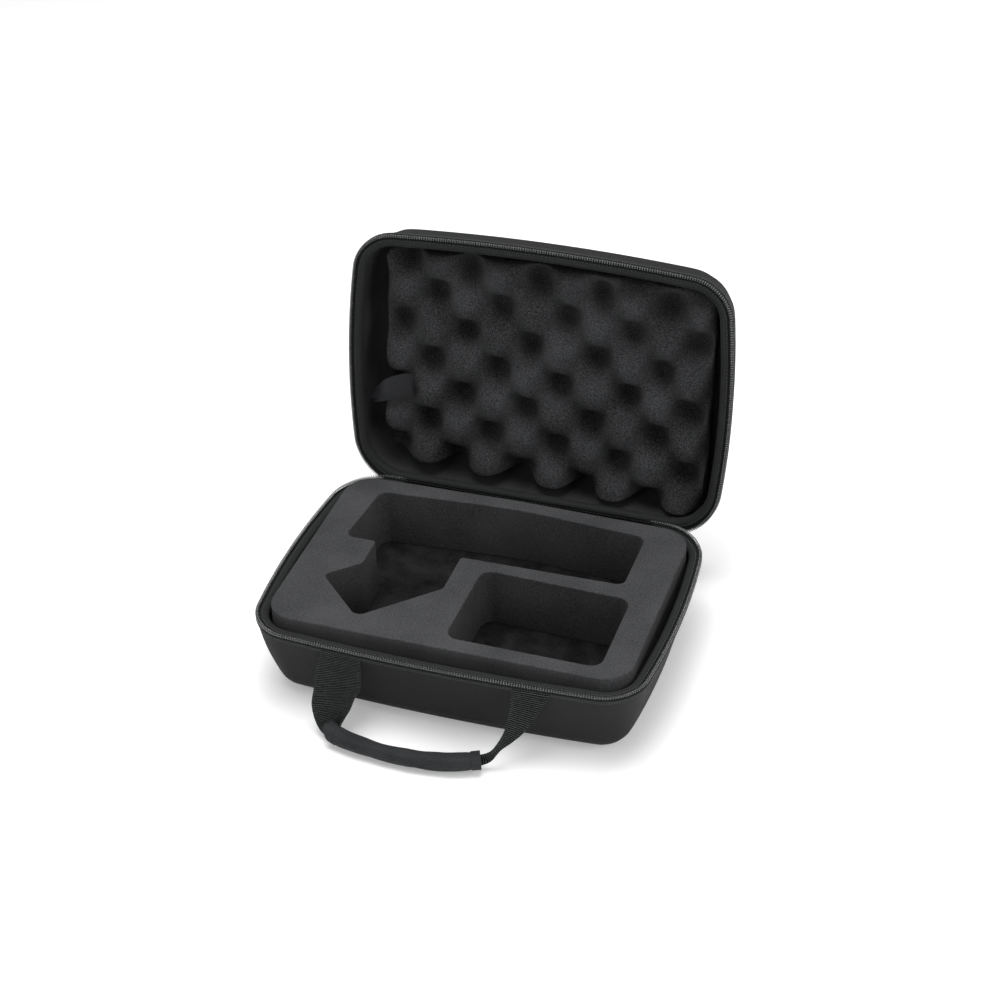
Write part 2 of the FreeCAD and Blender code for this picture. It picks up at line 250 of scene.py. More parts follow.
def sweep(name, place, section, move, start=0.0, end=None, step=STEP):
    """Sweeps a closed section of (inset, height) points along the zip line, all round when end is None."""
    whole = end is None
    at, normals, run = stations(start, rim_length if whole else end, step)
    section = np.asarray(section, float)
    inset = np.broadcast_to(section[:, 0], (len(run), len(section))).copy()
    height = np.broadcast_to(section[:, 1], inset.shape).copy()
    move(run, section, inset, height)
    flat = at[:, None, :] - normals[:, None, :] * inset[:, :, None]
    points = np.dstack([flat, height])
    uv = uv_grid(run, run_of(section, closed=True))
    if whole:
        points = points[:-1]
    return grid_piece(name, place(points), uv, loop_rows=whole, loop_cols=True, capped=not whole)


def finish_piece(piece, body, slot, material, *nodes):
    """Gives a piece its material, the body that carries it, and the CAD nodes that it replaces; slot is not
    used.
    """
    piece.data.materials.clear()
    piece.data.materials.append(material)
    if body:
        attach(piece, body)
    if nodes:
        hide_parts(*nodes)
    return piece


# ---- materials ----
class Shader:
    """A Principled material and short calls for the nodes that drive it."""

    def __init__(self, name, roughness, sheen=0.0, sheen_roughness=0.5, specular=0.5):
        self.material = bpy.data.materials.new(name)
        self.material.use_nodes = True
        self.tree = self.material.node_tree
        self.surface = self.tree.nodes["Principled BSDF"]
        self.surface.inputs["Roughness"].default_value = roughness
        self.surface.inputs["Sheen Weight"].default_value = sheen
        self.surface.inputs["Sheen Roughness"].default_value = sheen_roughness
        self.surface.inputs["Specular IOR Level"].default_value = specular

    def node(self, kind, inputs=None, **settings):
        made = self.tree.nodes.new("ShaderNode" + kind)
        for key, value in settings.items():
            setattr(made, key, value)
        for socket, value in (inputs or {}).items():
            self.feed(made.inputs[socket], value)
        return made

    def feed(self, socket, value):
        if isinstance(value, bpy.types.NodeSocket):
            self.tree.links.new(value, socket)
        else:
            socket.default_value = value

    def math(self, operation, a, b=0.0):
        return self.node("Math", {0: a, 1: b}, operation=operation).outputs[0]

    def ramp(self, value, low, high):
        """0 below low, 1 above high."""
        made = self.node("MapRange", {"Value": value, "From Min": low, "From Max": high})
        return made.outputs[0]

    def place(self):
        return self.node("TexCoord").outputs["Object"]

    def cloth(self):
        return self.node("UVMap", uv_map="cloth").outputs[0]

    def noise(self, size, detail=2.0, where=None):
        """Noise with features about this many millimetres across, in object space unless where says."""
        scale = 1 / (size * MM) if where is None else 1 / size
        source = self.place() if where is None else where
        return self.node("TexNoise", {"Vector": source, "Scale": scale, "Detail": detail}).outputs[0]

    def mix(self, factor, low, high):
        made = self.node("Mix", {0: factor}, data_type="RGBA")
        for index, colour in ((6, low), (7, high)):
            self.feed(made.inputs[index], (*colour, 1.0) if isinstance(colour, tuple) else colour)
        return made.outputs[2]

    def bump(self, height, depth, under=None):
        """Bump of this many millimetres, over an earlier one."""
        made = self.node("Bump", {"Height": height, "Distance": depth * MM})
        if under is not None:
            self.feed(made.inputs["Normal"], under)
        return made.outputs[0]

    def weave(self, pitch_u, pitch_v):
        """Height of a plain weave, in mm along the cloth's own coordinates."""
        parts = self.node("SeparateXYZ", {0: self.cloth()})
        along = [self.math("SINE", self.math("MULTIPLY", parts.outputs[k], math.pi / pitch))
                 for k, pitch in ((0, pitch_u), (1, pitch_v))]
        over = self.math("GREATER_THAN", self.math("MULTIPLY", *along), 0.0)
        warp = self.math("MULTIPLY", self.math("ABSOLUTE", along[0]), over)
        weft = self.math("MULTIPLY", self.math("ABSOLUTE", along[1]), self.math("SUBTRACT", 1.0, over))
        return self.math("ADD", warp, weft)

    def finish(self, colour=None, normal=None, roughness=None):
        for socket, value in (("Base Color", colour), ("Normal", normal), ("Roughness", roughness)):
            if value is not None:
                self.feed(self.surface.inputs[socket], value)
        return self.material


def woven(name, dark, light, pitch, depth=0.09, sheen=0.02, rough=(0.62, 0.82), wear=2.0, ribs=0.0,
          span=(0.2, 1.0)):
    """Woven cloth: thread relief, threads a little uneven, and broad patches of lighter rubbed cloth; ribs
    adds painted shade in rib grooves.
    """
    sh = Shader(name, 0.7, sheen=sheen, sheen_roughness=0.45, specular=0.2)
    threads = sh.weave(*pitch)
    uneven = sh.noise(pitch[0] * 1.6, 3.0, sh.cloth())
    patches = sh.noise(28.0, 3.0)
    tone = sh.math("ADD", sh.math("MULTIPLY", threads, 0.45), sh.math("MULTIPLY", uneven, 0.55))
    tone = sh.math("ADD", tone, sh.math("MULTIPLY", sh.math("SUBTRACT", patches, 0.5), 0.12 * wear))
    # painted shade and light: darkest in the rib grooves, lighter than the cloth on the rib crests
    if ribs:
        along = sh.node("SeparateXYZ", {0: sh.cloth()}).outputs[0]
        rib_groove_shade = sh.math("ABSOLUTE", sh.math("SINE", sh.math("MULTIPLY", along, math.pi / ribs)))
        tone = sh.math("MULTIPLY", tone, sh.math("MULTIPLY", sh.math("POWER", rib_groove_shade, 2.2), 1.5))
    relief = sh.bump(threads, depth, sh.bump(uneven, depth))
    return sh.finish(sh.mix(sh.ramp(tone, *span), dark, light), relief,
                     sh.math("ADD", rough[0], sh.math("MULTIPLY", patches, rough[1] - rough[0])))


def foam(name, dark, light, grain, pores, depth, span=(0.25, 0.75), blotch_and_shade=(45.0, 0.35), rough=0.92):
    """Foam: fine grain, open pores and slow changes of tone, partly painted shade for the surface's soft
    undulation.
    """
    sh = Shader(name, rough, sheen=0.02, sheen_roughness=0.6, specular=0.12)
    fine = sh.noise(grain, 4.0)
    cells = sh.node("TexVoronoi", {"Vector": sh.place(), "Scale": 1 / (pores * MM)}, feature="F1").outputs[0]
    # slow tone: partly real unevenness of the foam, partly painted shade standing in for the soft undulation
    # the flat slab lacks
    slow = sh.noise(blotch_and_shade[0], 2.0)
    tone = sh.math("ADD", sh.math("MULTIPLY", fine, 0.75), sh.math("MULTIPLY", cells, 0.25))
    tone = sh.math("ADD", tone, sh.math("MULTIPLY", sh.math("SUBTRACT", slow, 0.5), blotch_and_shade[1]))
    relief = sh.bump(fine, depth, sh.bump(cells, depth))
    return sh.finish(sh.mix(sh.ramp(tone, *span), dark, light), relief)


def enamel(name, colour, rough, edge, coat=0.0):
    """Painted metal or moulded plastic, duller and lighter where handling has rubbed it."""
    sh = Shader(name, rough, specular=0.5 + 0.5 * coat)
    sh.surface.inputs["Coat Weight"].default_value = coat
    sh.surface.inputs["Coat Roughness"].default_value = 0.25
    rubbed = sh.ramp(sh.noise(2.2, 4.0), 0.5, 0.75)
    return sh.finish(sh.mix(rubbed, colour, edge), sh.bump(sh.noise(0.5, 2.0), 0.01),
                     sh.math("ADD", rough, sh.math("MULTIPLY", rubbed, 0.15)))


RIB = 1.4                  # webbing rib pitch
CASE_CLOTH = ((0.001, 0.001, 0.0015), (0.018, 0.018, 0.0195), (0.75, 0.75))
shell_cloth = woven("shell_cloth", *CASE_CLOTH, span=(0.3, 0.85))
lining_cloth = woven("lining_cloth", (0.014, 0.014, 0.015), (0.044, 0.044, 0.046), (0.9, 0.55), 0.05)
binding_cloth = woven("binding_cloth", (0.005, 0.0055, 0.0055), (0.026, 0.0275, 0.027), (0.5, 0.5), 0.05)
tape_cloth = woven("tape_cloth", (0.001, 0.0015, 0.0015), (0.018, 0.021, 0.0205), (0.95, 0.8), 0.12,
                   span=(0.35, 0.9))
# ribs paints shade into the webbing's rib grooves and light onto their crests
webbing_cloth = woven("webbing_cloth", (0.000, 0.0005, 0.0005), (0.088, 0.101, 0.098), (RIB, 0.8), 0.12,
                      ribs=RIB, span=(0.55, 1.15))
sleeve_cloth = woven("sleeve_cloth", (0.006, 0.007, 0.008), (0.042, 0.045, 0.047), (0.75, 0.75), 0.08,
                     wear=4.0, span=(0.3, 0.85))
hinge_cloth = woven("hinge_cloth", *CASE_CLOTH, span=(0.3, 0.85))
satin_cloth = woven("satin_cloth", (0.004, 0.004, 0.005), (0.017, 0.018, 0.021), (0.25, 0.5), 0.02, 0.05,
                    (0.35, 0.5))
thread = woven("thread", (0.03, 0.032, 0.032), (0.12, 0.127, 0.125), (0.4, 0.4), 0.03)
insert_foam = foam("insert_foam", (0.026, 0.0265, 0.028), (0.068, 0.0685, 0.071), 0.9, 0.7, 0.10,
                   (0.34, 0.66))
floor_foam = foam("floor_foam", (0.001, 0.001, 0.0015), (0.013, 0.013, 0.014), 1.2, 0.8, 0.12,
                  blotch_and_shade=(14.0, 1.2))
egg_foam = foam("egg_foam", (0.004, 0.004, 0.0045), (0.066, 0.067, 0.070), 0.9, 0.8, 0.4, (0.32, 0.68))
coil_nylon = enamel("coil_nylon", (0.040, 0.041, 0.041), 0.20, (0.085, 0.086, 0.086), 0.9)
zip_enamel = enamel("zip_enamel", (0.012, 0.012, 0.012), 0.32, (0.075, 0.073, 0.070))


# ---- shells and linings ----
BULGE = {"base": 1.8, "lid": 0.0}                    # swell of the outer wall's left end
DRAWN = {"base": (0.0, 0.8), "lid": (3.0, 2.0)}      # front corners pulled in, left and right


def tub_wall(extra, top, depth, edge_r, slope):
    """(inset, height) points from the mouth down the wall and round the bottom edge."""
    draft = math.atan(slope)
    side = WALL_INSET + extra
    low = depth - edge_r + edge_r * math.sin(draft)
    centre = (side + low * slope + edge_r * math.cos(draft), depth - edge_r)
    wall = [(side + d * slope, -d) for d in np.linspace(top, low, 10)[:-1]]
    turn = np.linspace(draft, math.pi / 2, 12)
    return wall + [(centre[0] - edge_r * math.cos(a), -centre[1] - edge_r * math.sin(a)) for a in turn]


def tub_piece(name, place, outer, inner, drawn, bulge=0.0):
    """Closed tub between an outer and an inner wall section, each carried across the floor to its middle."""
    at, normals, run = stations(0, rim_length, STEP)
    shrink = (0.8, 0.55, 0.3, 0.0)
    pull = corner_share(run) * (normals[:, 1] < 0) * np.where(normals[:, 0] < 0, drawn[0], drawn[1])

    def wall(section, swell=0.0):
        section = np.asarray(section)
        mid = np.sin(np.clip(-section[:, 1] / 50.0, 0, 1) * math.pi) * swell
        deep = np.clip((-section[:, 1] - 4.0) / 22.0, 0, 1)
        inset = section[:, 0] - mid * np.clip(-1.4 * normals[:, :1], 0, 1) + pull[:, None] * ease(deep)
        flat = at[:, None, :] - normals[:, None, :] * inset[:, :, None]
        return np.dstack([flat, np.broadcast_to(section[:, 1], flat.shape[:2])])

    def to_middle(edge):
        return np.stack([edge * np.array([k, k, 1.0]) for k in shrink], axis=1)

    out, into = wall(outer, bulge), wall(inner)
    points = np.concatenate([to_middle(into[:, -1])[:, ::-1], into[:, ::-1], out, to_middle(out[:, -1])],
                            axis=1)
    uv = uv_grid(run, run_of(points[0]))
    capped = len(shrink)
    uv[:, :capped] = points[:, :capped, :2]
    uv[:, -capped:] = points[:, -capped:, :2]
    return grid_piece(name, place(points[:-1]), uv, loop_rows=True)


def make_shells():
    for half, (place, depth, edge_r, slope) in HALVES.items():
        outer = tub_wall(0, EDGE_DROP, depth, edge_r, slope)
        inner = tub_wall(SHELL_T - 0.1, EDGE_DROP, depth - SHELL_T + 0.1, edge_r - SHELL_T, slope)
        skin = tub_piece(f"{half}_shell_skin", place, outer, inner, DRAWN[half], BULGE[half])
        finish_piece(skin, half, "shell_fabric", shell_cloth, f"{half}_shell")
        thick = SHELL_T + LINING_T
        inside = tub_wall(thick, EDGE_DROP, depth - thick, edge_r - thick, slope)
        behind = tub_wall(SHELL_T, EDGE_DROP, depth - SHELL_T, edge_r - SHELL_T, slope)
        lining = tub_piece(f"{half}_lining_knit", place, behind, inside, DRAWN[half])
        finish_piece(lining, half, "lining_fabric", lining_cloth, f"{half}_lining")


# ---- rim: tape, binding, coil, stitches ----
COIL_IN = {"base": 1.55, "lid": 1.3}    # coil's middle, in from the zip line
SLIDER_REACH = 20.0        # length of chain at each end that the sliders run on
COIL_EASE = 32.0           # length over which the coil then moves in
WIRE_R = 0.40              # monofilament of the coil
THREAD_R = 0.32


def coil_shift(half, run):
    """How far the coil comes out to the zip line itself near the chain's ends; negative is outward."""
    from_end = np.clip((np.minimum(run, rim_length - run) - CHAIN_END - SLIDER_REACH) / COIL_EASE, 0, 1)
    return -COIL_IN[half] * (1 - ease(from_end))


def tape_section(half, slope):
    """Flat tape under the coil, and its outer strip folded down against the shell."""
    out = COIL_IN[half] - 1.2
    wall = WALL_INSET + 5.6 * slope
    low = wall - 0.75
    return [(out, -2.5), (out + 0.05, -1.9), (out + 0.4, -1.75), (2.4, -1.78), (4.4, -1.75), (4.4, -2.3),
            (1.35, -2.45), (wall, -5.6), (wall - 0.4, -5.85), (low, -5.6), ((out + low) / 2, -4.0)]


# rolled strip from the tape's inner edge, over the rim and down inside the lining
BINDING = [(4.1, -1.7), (4.15, -0.9), (4.4, -0.55), (4.7, -0.55), (5.0, -0.95), (5.35, -0.7), (6.2, 0.0),
           (7.6, 0.2), (8.9, -0.6), (9.8, -1.3), (10.1, -2.6), (9.6, -5.0), (8.8, -8.2), (8.1, -8.9),
           (7.1, -8.6), (5.6, -3.0), (4.8, -2.2)]


def pucker(run, section, inset, height):
    """Soft waves along the binding, and pleats where it is drawn round the corners."""
    corner = corner_share(run)[:, None]
    slack = 0.16 * np.sin(run / 11.0) + 0.10 * np.sin(run / 4.1 + 1.3)
    pleat = np.sin(run * 2 * math.pi / 5.3 + 1.2 * np.sin(run / 9.0))
    show = np.clip((section[:, 0] - 5.0) / 3.0, 0, 1) * np.clip((section[:, 1] + 8.0) / 5.0, 0, 1)
    height += show * (slack[:, None] * 0.7 - corner * 0.30 * (1 - pleat[:, None]) - 0.1)
    inset -= show * corner * 0.35 * pleat[:, None] * 0.6


def stitch_row(name, place, inset, height, length, pitch, start, end, shift):
    """A row of sewn stitches: each a short spindle of thread lying along the rim."""
    at, normals, run = stations(start, end, pitch)
    insets = inset + shift(run)
    tangent = np.column_stack([normals[:, 1], -normals[:, 0]])
    sides = 6
    turn = np.linspace(0, 2 * math.pi, sides, endpoint=False)
    rings = [(-0.5, 0.02), (-0.32, 0.85), (0.0, 1.0), (0.32, 0.85), (0.5, 0.02)]
    shape = np.array([[(a * length, THREAD_R * r * math.cos(t), THREAD_R * r * math.sin(t)) for t in turn]
                      for a, r in rings])
    along, across = shape[..., 0], shape[..., 1]
    verts, faces = [], []
    for k in range(len(run)):
        flat = at[k] + tangent[k] * along[..., None] - normals[k] * (insets[k] + across[..., None])
        ring = np.dstack([flat, height + shape[..., 2]]).reshape(-1, 3)
        first = k * len(ring)
        verts.append(ring)
        for i in range(len(rings) - 1):
            here, ahead = first + i * sides, first + (i + 1) * sides
            faces += [[here + j, here + (j + 1) % sides, ahead + (j + 1) % sides, ahead + j]
                      for j in range(sides)]
    mesh = bpy.data.meshes.new(name)
    mesh.from_pydata((place(np.vstack(verts)) * MM).tolist(), [], faces)
    mesh.uv_layers.new(name="cloth")
    return mesh_piece(name, mesh)


def coil_piece(name, place, half):
    """The zip coil: each tooth a loop of round monofilament lying straight across the tape."""
    steps, sides = 16, 6
    start, end = CHAIN_END, rim_length - CHAIN_END
    turns = round((end - start) / TOOTH_PITCH)
    part = np.arange(turns * steps + 1) / steps
    ahead = np.clip((part % 1 - 0.55) / 0.4, 0, 1)
    along = start + (end - start) / turns * (np.floor(part) + ease(ahead))
    at = at_run(along, line_run, line_points)
    normals = unit(at_run(along, line_run, line_normals))
    phase = part * 2 * math.pi
    across, rise = np.cos(phase), np.sin(phase)
    out = (COIL_R - WIRE_R - 0.12) * np.sign(across) * np.abs(across) ** 0.7
    out = out - COIL_IN[half] - coil_shift(half, along)
    up = (COIL_R - WIRE_R - 0.1) * np.sign(rise) * np.abs(rise) ** 0.8
    line = np.column_stack([at + normals * out[:, None], up])
    forward = unit(np.gradient(line, axis=0))
    radial = np.column_stack([normals * across[:, None], rise])
    radial = unit(radial - forward * (radial * forward).sum(1)[:, None])
    side = np.cross(forward, radial)
    turn = np.linspace(0, 2 * math.pi, sides, endpoint=False)
    ring = radial[:, None, :] * np.cos(turn)[None, :, None] + side[:, None, :] * np.sin(turn)[None, :, None]
    points = line[:, None, :] + WIRE_R * ring
    uv = np.zeros((len(line), sides + 1, 2))
    return grid_piece(name, place(points), uv, loop_cols=True, capped=True, sharp_deg=80)


def make_rims():
    open_start, open_end = CHAIN_END - 1, rim_length - CHAIN_END + 1
    for half, (place, _, _, slope) in HALVES.items():
        section = tape_section(half, slope)

        def follow(run, section, inset, height, half=half):
            """The tape's outer edge goes half as far as the coil, so that it clears the sliders."""
            inset[:, :3] += coil_shift(half, run)[:, None] * 0.5

        tape = sweep(f"{half}_tape_weave", place, section, follow, open_start, open_end)
        finish_piece(tape, half, "zip_tape", tape_cloth, f"{half}_zip_tape")
        binding = sweep(f"{half}_binding_roll", place, BINDING, pucker, step=1.1)
        finish_piece(binding, half, "binding_fabric", binding_cloth, f"{half}_rim_binding")
        coil = coil_piece(f"{half}_coil_turns", place, half)
        finish_piece(coil, half, "zip_coil", coil_nylon, f"{half}_zip_coil")
        out, low = section[0][0], section[-2][0]
        ends = (open_start + 2, open_end - 2)
        # name, inset, height, stitch length, pitch, ends along the rim, share of the coil's shift
        rows = (("binding_stitches", 5.0, -0.75, 2.2, 3.1, (0.0, rim_length), 0.0),
                ("tape_stitches_upper", out + (low - out) * 0.2, -3.1, 1.4, 1.9, ends, 0.4),
                ("tape_stitches_lower", out + (low - out) * 0.7, -4.7, 1.4, 1.9, ends, 0.3))
        for label, inset, height, length, pitch, (start, end), share in rows:
            stitches = stitch_row(f"{half}_{label}", place, inset, height, length, pitch, start, end,
                                  lambda run, share=share: coil_shift(half, run) * share)
            finish_piece(stitches, half, "zip_tape", thread)


# ---- foam insert and floor ----
# corner points as (x, y, radius)
FOAM_OUTLINE = [(134.0, -90.0, 22), (134.0, 90.0, 22), (0, 93.0, 400), (-134.0, 90.0, 22),
                (-134.0, -90.0, 22)]
LONG_POCKET = [(102.0, 15.5, 6), (102.0, 75.0, 8), (0, 82.0, 400), (-106.0, 74.5, 8), (-111.5, 14.5, 6),
               (-87.0, 14.5, 2.5), (-87.0, -13.5, 8), (-109.0, -34.5, 4), (-69.0, -73.0, 7),
               (-20.5, -25.5, 5), (-20.5, 13.5, 2.5)]
SQUARE_POCKET = [(112.0, -78.0, 9), (112.0, 0.0, 9), (0, 3.5, 9), (-1.0, -77.0, 9)]


def rounded_outline(corners, grow=0.0):
    """Closed outline through corner points (x, y, radius), each corner an arc; grow moves it outward."""
    corners = [(np.array(c[:2]), c[2]) for c in corners]
    pairs = zip(corners, corners[1:] + corners[:1])
    area = sum(a[0][0] * b[0][1] - b[0][0] * a[0][1] for a, b in pairs)
    way = math.copysign(1, area)
    points = []
    for k, (at, radius) in enumerate(corners):
        before, after = corners[k - 1][0], corners[(k + 1) % len(corners)][0]
        u, v = unit(before - at), unit(after - at)
        half = math.acos(np.clip(u @ v, -1, 1)) / 2
        centre = at + unit(u + v) * radius / math.sin(half)
        turning = way * math.copysign(1, u[1] * v[0] - u[0] * v[1])
        start = heading(centre, at + u * radius / math.tan(half))
        sweep_angle = math.copysign(math.pi - 2 * half, way * turning)
        reach = radius + turning * grow
        for a in np.linspace(0, sweep_angle, 12):
            points.append(centre + reach * np.array([math.cos(start + a), math.sin(start + a)]))
    return np.array(points)


def die_cut(name, outlines, low, high, edge):
    """Slab with holes, cut square and rounded by `edge` along its upper and lower edges."""
    curve = bpy.data.curves.new(name, "CURVE")
    curve.dimensions = "2D"
    curve.fill_mode = "BOTH"
    curve.extrude = ((high - low) / 2 - edge) * MM
    curve.bevel_depth = edge * MM
    curve.bevel_resolution = 3
    for k, corners in enumerate(outlines):
        points = rounded_outline(corners, -edge if k == 0 else edge)
        spline = curve.splines.new("POLY")
        spline.points.add(len(points) - 1)
        spline.points.foreach_set("co", np.column_stack([points * MM, np.zeros(len(points)),
                                                         np.ones(len(points))]).ravel())
        spline.use_cyclic_u = True
    holder = bpy.data.objects.new(name + "_curve", curve)
    to_scene(holder)
    mesh = bpy.data.meshes.new_from_object(holder.evaluated_get(bpy.context.evaluated_depsgraph_get()))
    bpy.data.objects.remove(holder)
    mesh.transform(Matrix.Translation((0, 0, (high + low) / 2 * MM)))
    return mesh_piece(name, mesh, 30)


def make_insert():
    outlines = [FOAM_OUTLINE, LONG_POCKET, SQUARE_POCKET]
    insert = die_cut("foam_insert_cut", outlines, foam_low[2], foam_high[2], 0.9)
    finish_piece(insert, "base", "insert_foam", insert_foam, "base_foam_insert")
    thick = SHELL_T + LINING_T + FOAM_CLEAR
    floor_top = rim_z - foam_low[2] + 0.1
    outer = tub_wall(thick, floor_top, rim_z - thick, BASE_EDGE_R - thick, BASE_SLOPE)
    inner = [(outer[0][0] + 0.6, -floor_top + 0.2)]
    outer[0] = (outer[0][0], -floor_top)
    slab = tub_piece("foam_floor_slab", base_place, outer, inner, DRAWN["base"])
    finish_piece(slab, "base", "insert_foam", floor_foam, "base_foam_floor")


# ---- egg-crate pad in the lid ----
PAD_X = (-124.0, 130.0)
PAD_Y = (-86.0, 86.5)
PAD_SKEW = 8.5             # the cut towards the hinge runs this much wider at the right end
PAD_PEAK = -7.0            # peaks, from the lid's zip line
PAD_RELIEF = 25.0          # from peak to pit
PAD_CORNER_R = 9.0
PITCH_X = 50.9             # from pit to pit along a row
ROW_PITCH = 26.6           # from one row to the next, which is staggered
ROW_LEAN = math.radians(3.4)
PIT_AT = (-7.1, -75.5)     # one pit's place
PAD_DROOP = 4.5            # how far the peaks hang towards the hinge


def pad_wave(x, y):
    """0 in the middle of a pit, 1 on a peak, in staggered rows."""
    c, s = math.cos(ROW_LEAN), math.sin(ROW_LEAN)
    u = ((x - PIT_AT[0]) * c + (y - PIT_AT[1]) * s) / PITCH_X
    v = (-(x - PIT_AT[0]) * s + (y - PIT_AT[1]) * c) / (2 * ROW_PITCH)
    wander = 0.035 * np.sin(x / 17.0 + 1.1) * np.cos(y / 23.0)
    return 0.5 - 0.5 * np.cos(2 * math.pi * (u + wander)) * np.cos(2 * math.pi * (v - wander))


def pad_height(x, y):
    """Height of the pad: round pits between broad peaks."""
    wave = pad_wave(x, y)
    return PAD_PEAK - PAD_RELIEF * (0.88 * (1 - wave) ** 1.75 + 0.12 * (1 - wave))


def make_pad():
    """Pad as rings shrinking from its cut edge to its middle, with sides and a flat back."""
    corners = [(PAD_X[1], PAD_Y[0]), (PAD_X[1], PAD_Y[1] + PAD_SKEW), (PAD_X[0], PAD_Y[1]),
               (PAD_X[0], PAD_Y[0])]
    outline = rounded_outline([(*corner, PAD_CORNER_R) for corner in corners])
    length = run_of(outline, closed=True)
    run = np.linspace(0, length[-1], 420, endpoint=False)
    edge = at_run(run, length, np.vstack([outline, outline[:1]]))
    pits = np.clip(1 - pad_wave(edge[:, 0], edge[:, 1]) * 1.6, 0, 1)
    cut = PAD_Y[1] + PAD_SKEW * (edge[:, 0] - PAD_X[0]) / (PAD_X[1] - PAD_X[0])
    edge[:, 1] -= 5.0 * pits * np.clip((edge[:, 1] - cut + 3.0) / 3.0, 0, 1)
    middle = np.array([sum(PAD_X) / 2, sum(PAD_Y) / 2])
    shares = np.concatenate([np.linspace(0, 0.97, 76), [0.982, 0.991, 0.997, 1.0]])
    flat = middle + (edge - middle)[:, None, :] * shares[None, :, None]
    top = pad_height(flat[..., 0], flat[..., 1])
    share = (top - PAD_PEAK + PAD_RELIEF) / PAD_RELIEF
    inside = np.clip((1 - shares) / 0.06, 0, 1)[None, :]
    flat[..., 1] += PAD_DROOP * share ** 2 * inside
    rim_round = np.clip((shares - 0.965) / 0.035, 0, 1) ** 2.5
    top = top - 2.2 * rim_round[None, :]
    back = -(LID_DEPTH - SHELL_T - LINING_T - FOAM_CLEAR)
    drop = np.array([0.25, 0.6, 1.0])
    inward = [middle + (edge - middle) * 0.5, np.broadcast_to(middle, edge.shape)]
    side = np.stack([flat[:, -1]] * len(drop) + inward, axis=1)
    swell = 0.9 * (top[:, -1] - (PAD_PEAK - PAD_RELIEF)) / PAD_RELIEF
    side[:, 0] += unit(edge - middle) * swell[:, None]
    walls = top[:, -1:] + (back - top[:, -1:]) * drop
    depths = np.concatenate([walls, np.full((len(run), len(inward)), back)], axis=1)
    points = np.dstack([np.concatenate([flat, side], axis=1), np.concatenate([top, depths], axis=1)])
    thick = SHELL_T + LINING_T
    room = np.array(tub_wall(thick + 0.4, 0.0, -back, LID_EDGE_R - thick, LID_SLOPE))
    inset = np.interp(-points[..., 2], -room[:, 1], room[:, 0])
    points[..., 1] = np.clip(points[..., 1], inset - half_w + FRONT_BOW, half_w - inset)
    points[..., 0] = np.clip(points[..., 0], inset - half_l + SIDE_BOW, half_l - SIDE_BOW - inset)
    uv = np.zeros((points.shape[0] + 1, points.shape[1], 2))
    pad = grid_piece("egg_crate_pad", lid_place(points), uv, loop_rows=True, sharp_deg=70)
    finish_piece(pad, "lid", "egg_foam", egg_foam, "lid_foam_pad")


# ---- ribbons: straps, hinge cloth, label ----
def smooth_path(points, count):
    """Evenly spaced points on a smooth line through given points."""
    points = np.asarray(points, float)
    ends = np.vstack([2 * points[0] - points[1], points, 2 * points[-1] - points[-2]])
    fine = []
    for p0, p1, p2, p3 in zip(ends, ends[1:], ends[2:], ends[3:]):
        for t in np.linspace(0, 1, 24, endpoint=False):
            fine.append(0.5 * (2 * p1 + (p2 - p0) * t + (2 * p0 - 5 * p1 + 4 * p2 - p3) * t ** 2
                               + (3 * p1 - p0 - 3 * p2 + p3) * t ** 3))
    fine = np.vstack([fine, points[-1:]])
    run = run_of(fine)
    at = np.linspace(0, run[-1], count)
    return at_run(at, run, fine), at


def ribbon(name, left, right, thick, rows, cols, curl=None, rib_pitch=0.0, rib=0.0):
    """Band of cloth between two edge lines, bowed by curl (mm at each row) and ribbed across."""
    a, run = smooth_path(left, rows)
    b, _ = smooth_path(right, rows)
    w = np.linspace(-1, 1, cols)
    skin = a[:, None, :] * (1 - w[None, :, None]) / 2 + b[:, None, :] * (1 + w[None, :, None]) / 2
    along = unit(np.gradient((a + b) / 2, axis=0))
    face = unit(np.cross(b - a, along))
    if curl is not None:
        bow = np.interp(np.linspace(0, 1, rows), np.linspace(0, 1, len(curl)), curl)
        skin = skin + face[:, None, :] * (bow[:, None] * (1 - w[None, :] ** 2))[..., None]
    normal = unit(np.cross(np.gradient(skin, axis=1), np.gradient(skin, axis=0)))
    edge = np.sqrt(np.clip(1 - np.abs(w) ** 10, 0.05, 1))
    half = thick / 2 * edge[None, :] * np.ones((rows, 1))
    if rib_pitch:
        half = half - (rib * np.cos(2 * math.pi * run / rib_pitch) * 0.5)[:, None] * edge[None, :]
    front, behind = skin + normal * half[..., None], skin - normal * half[..., None]
    points = np.concatenate([front, behind[:, ::-1]], axis=1)
    width = np.linalg.norm(b - a, axis=1).mean()
    across = np.concatenate([(w + 1) * width / 2, (3 - w[::-1]) * width / 2, [2 * width]])
    return grid_piece(name, points, uv_grid(run, across), loop_cols=True, capped=True, sharp_deg=50)


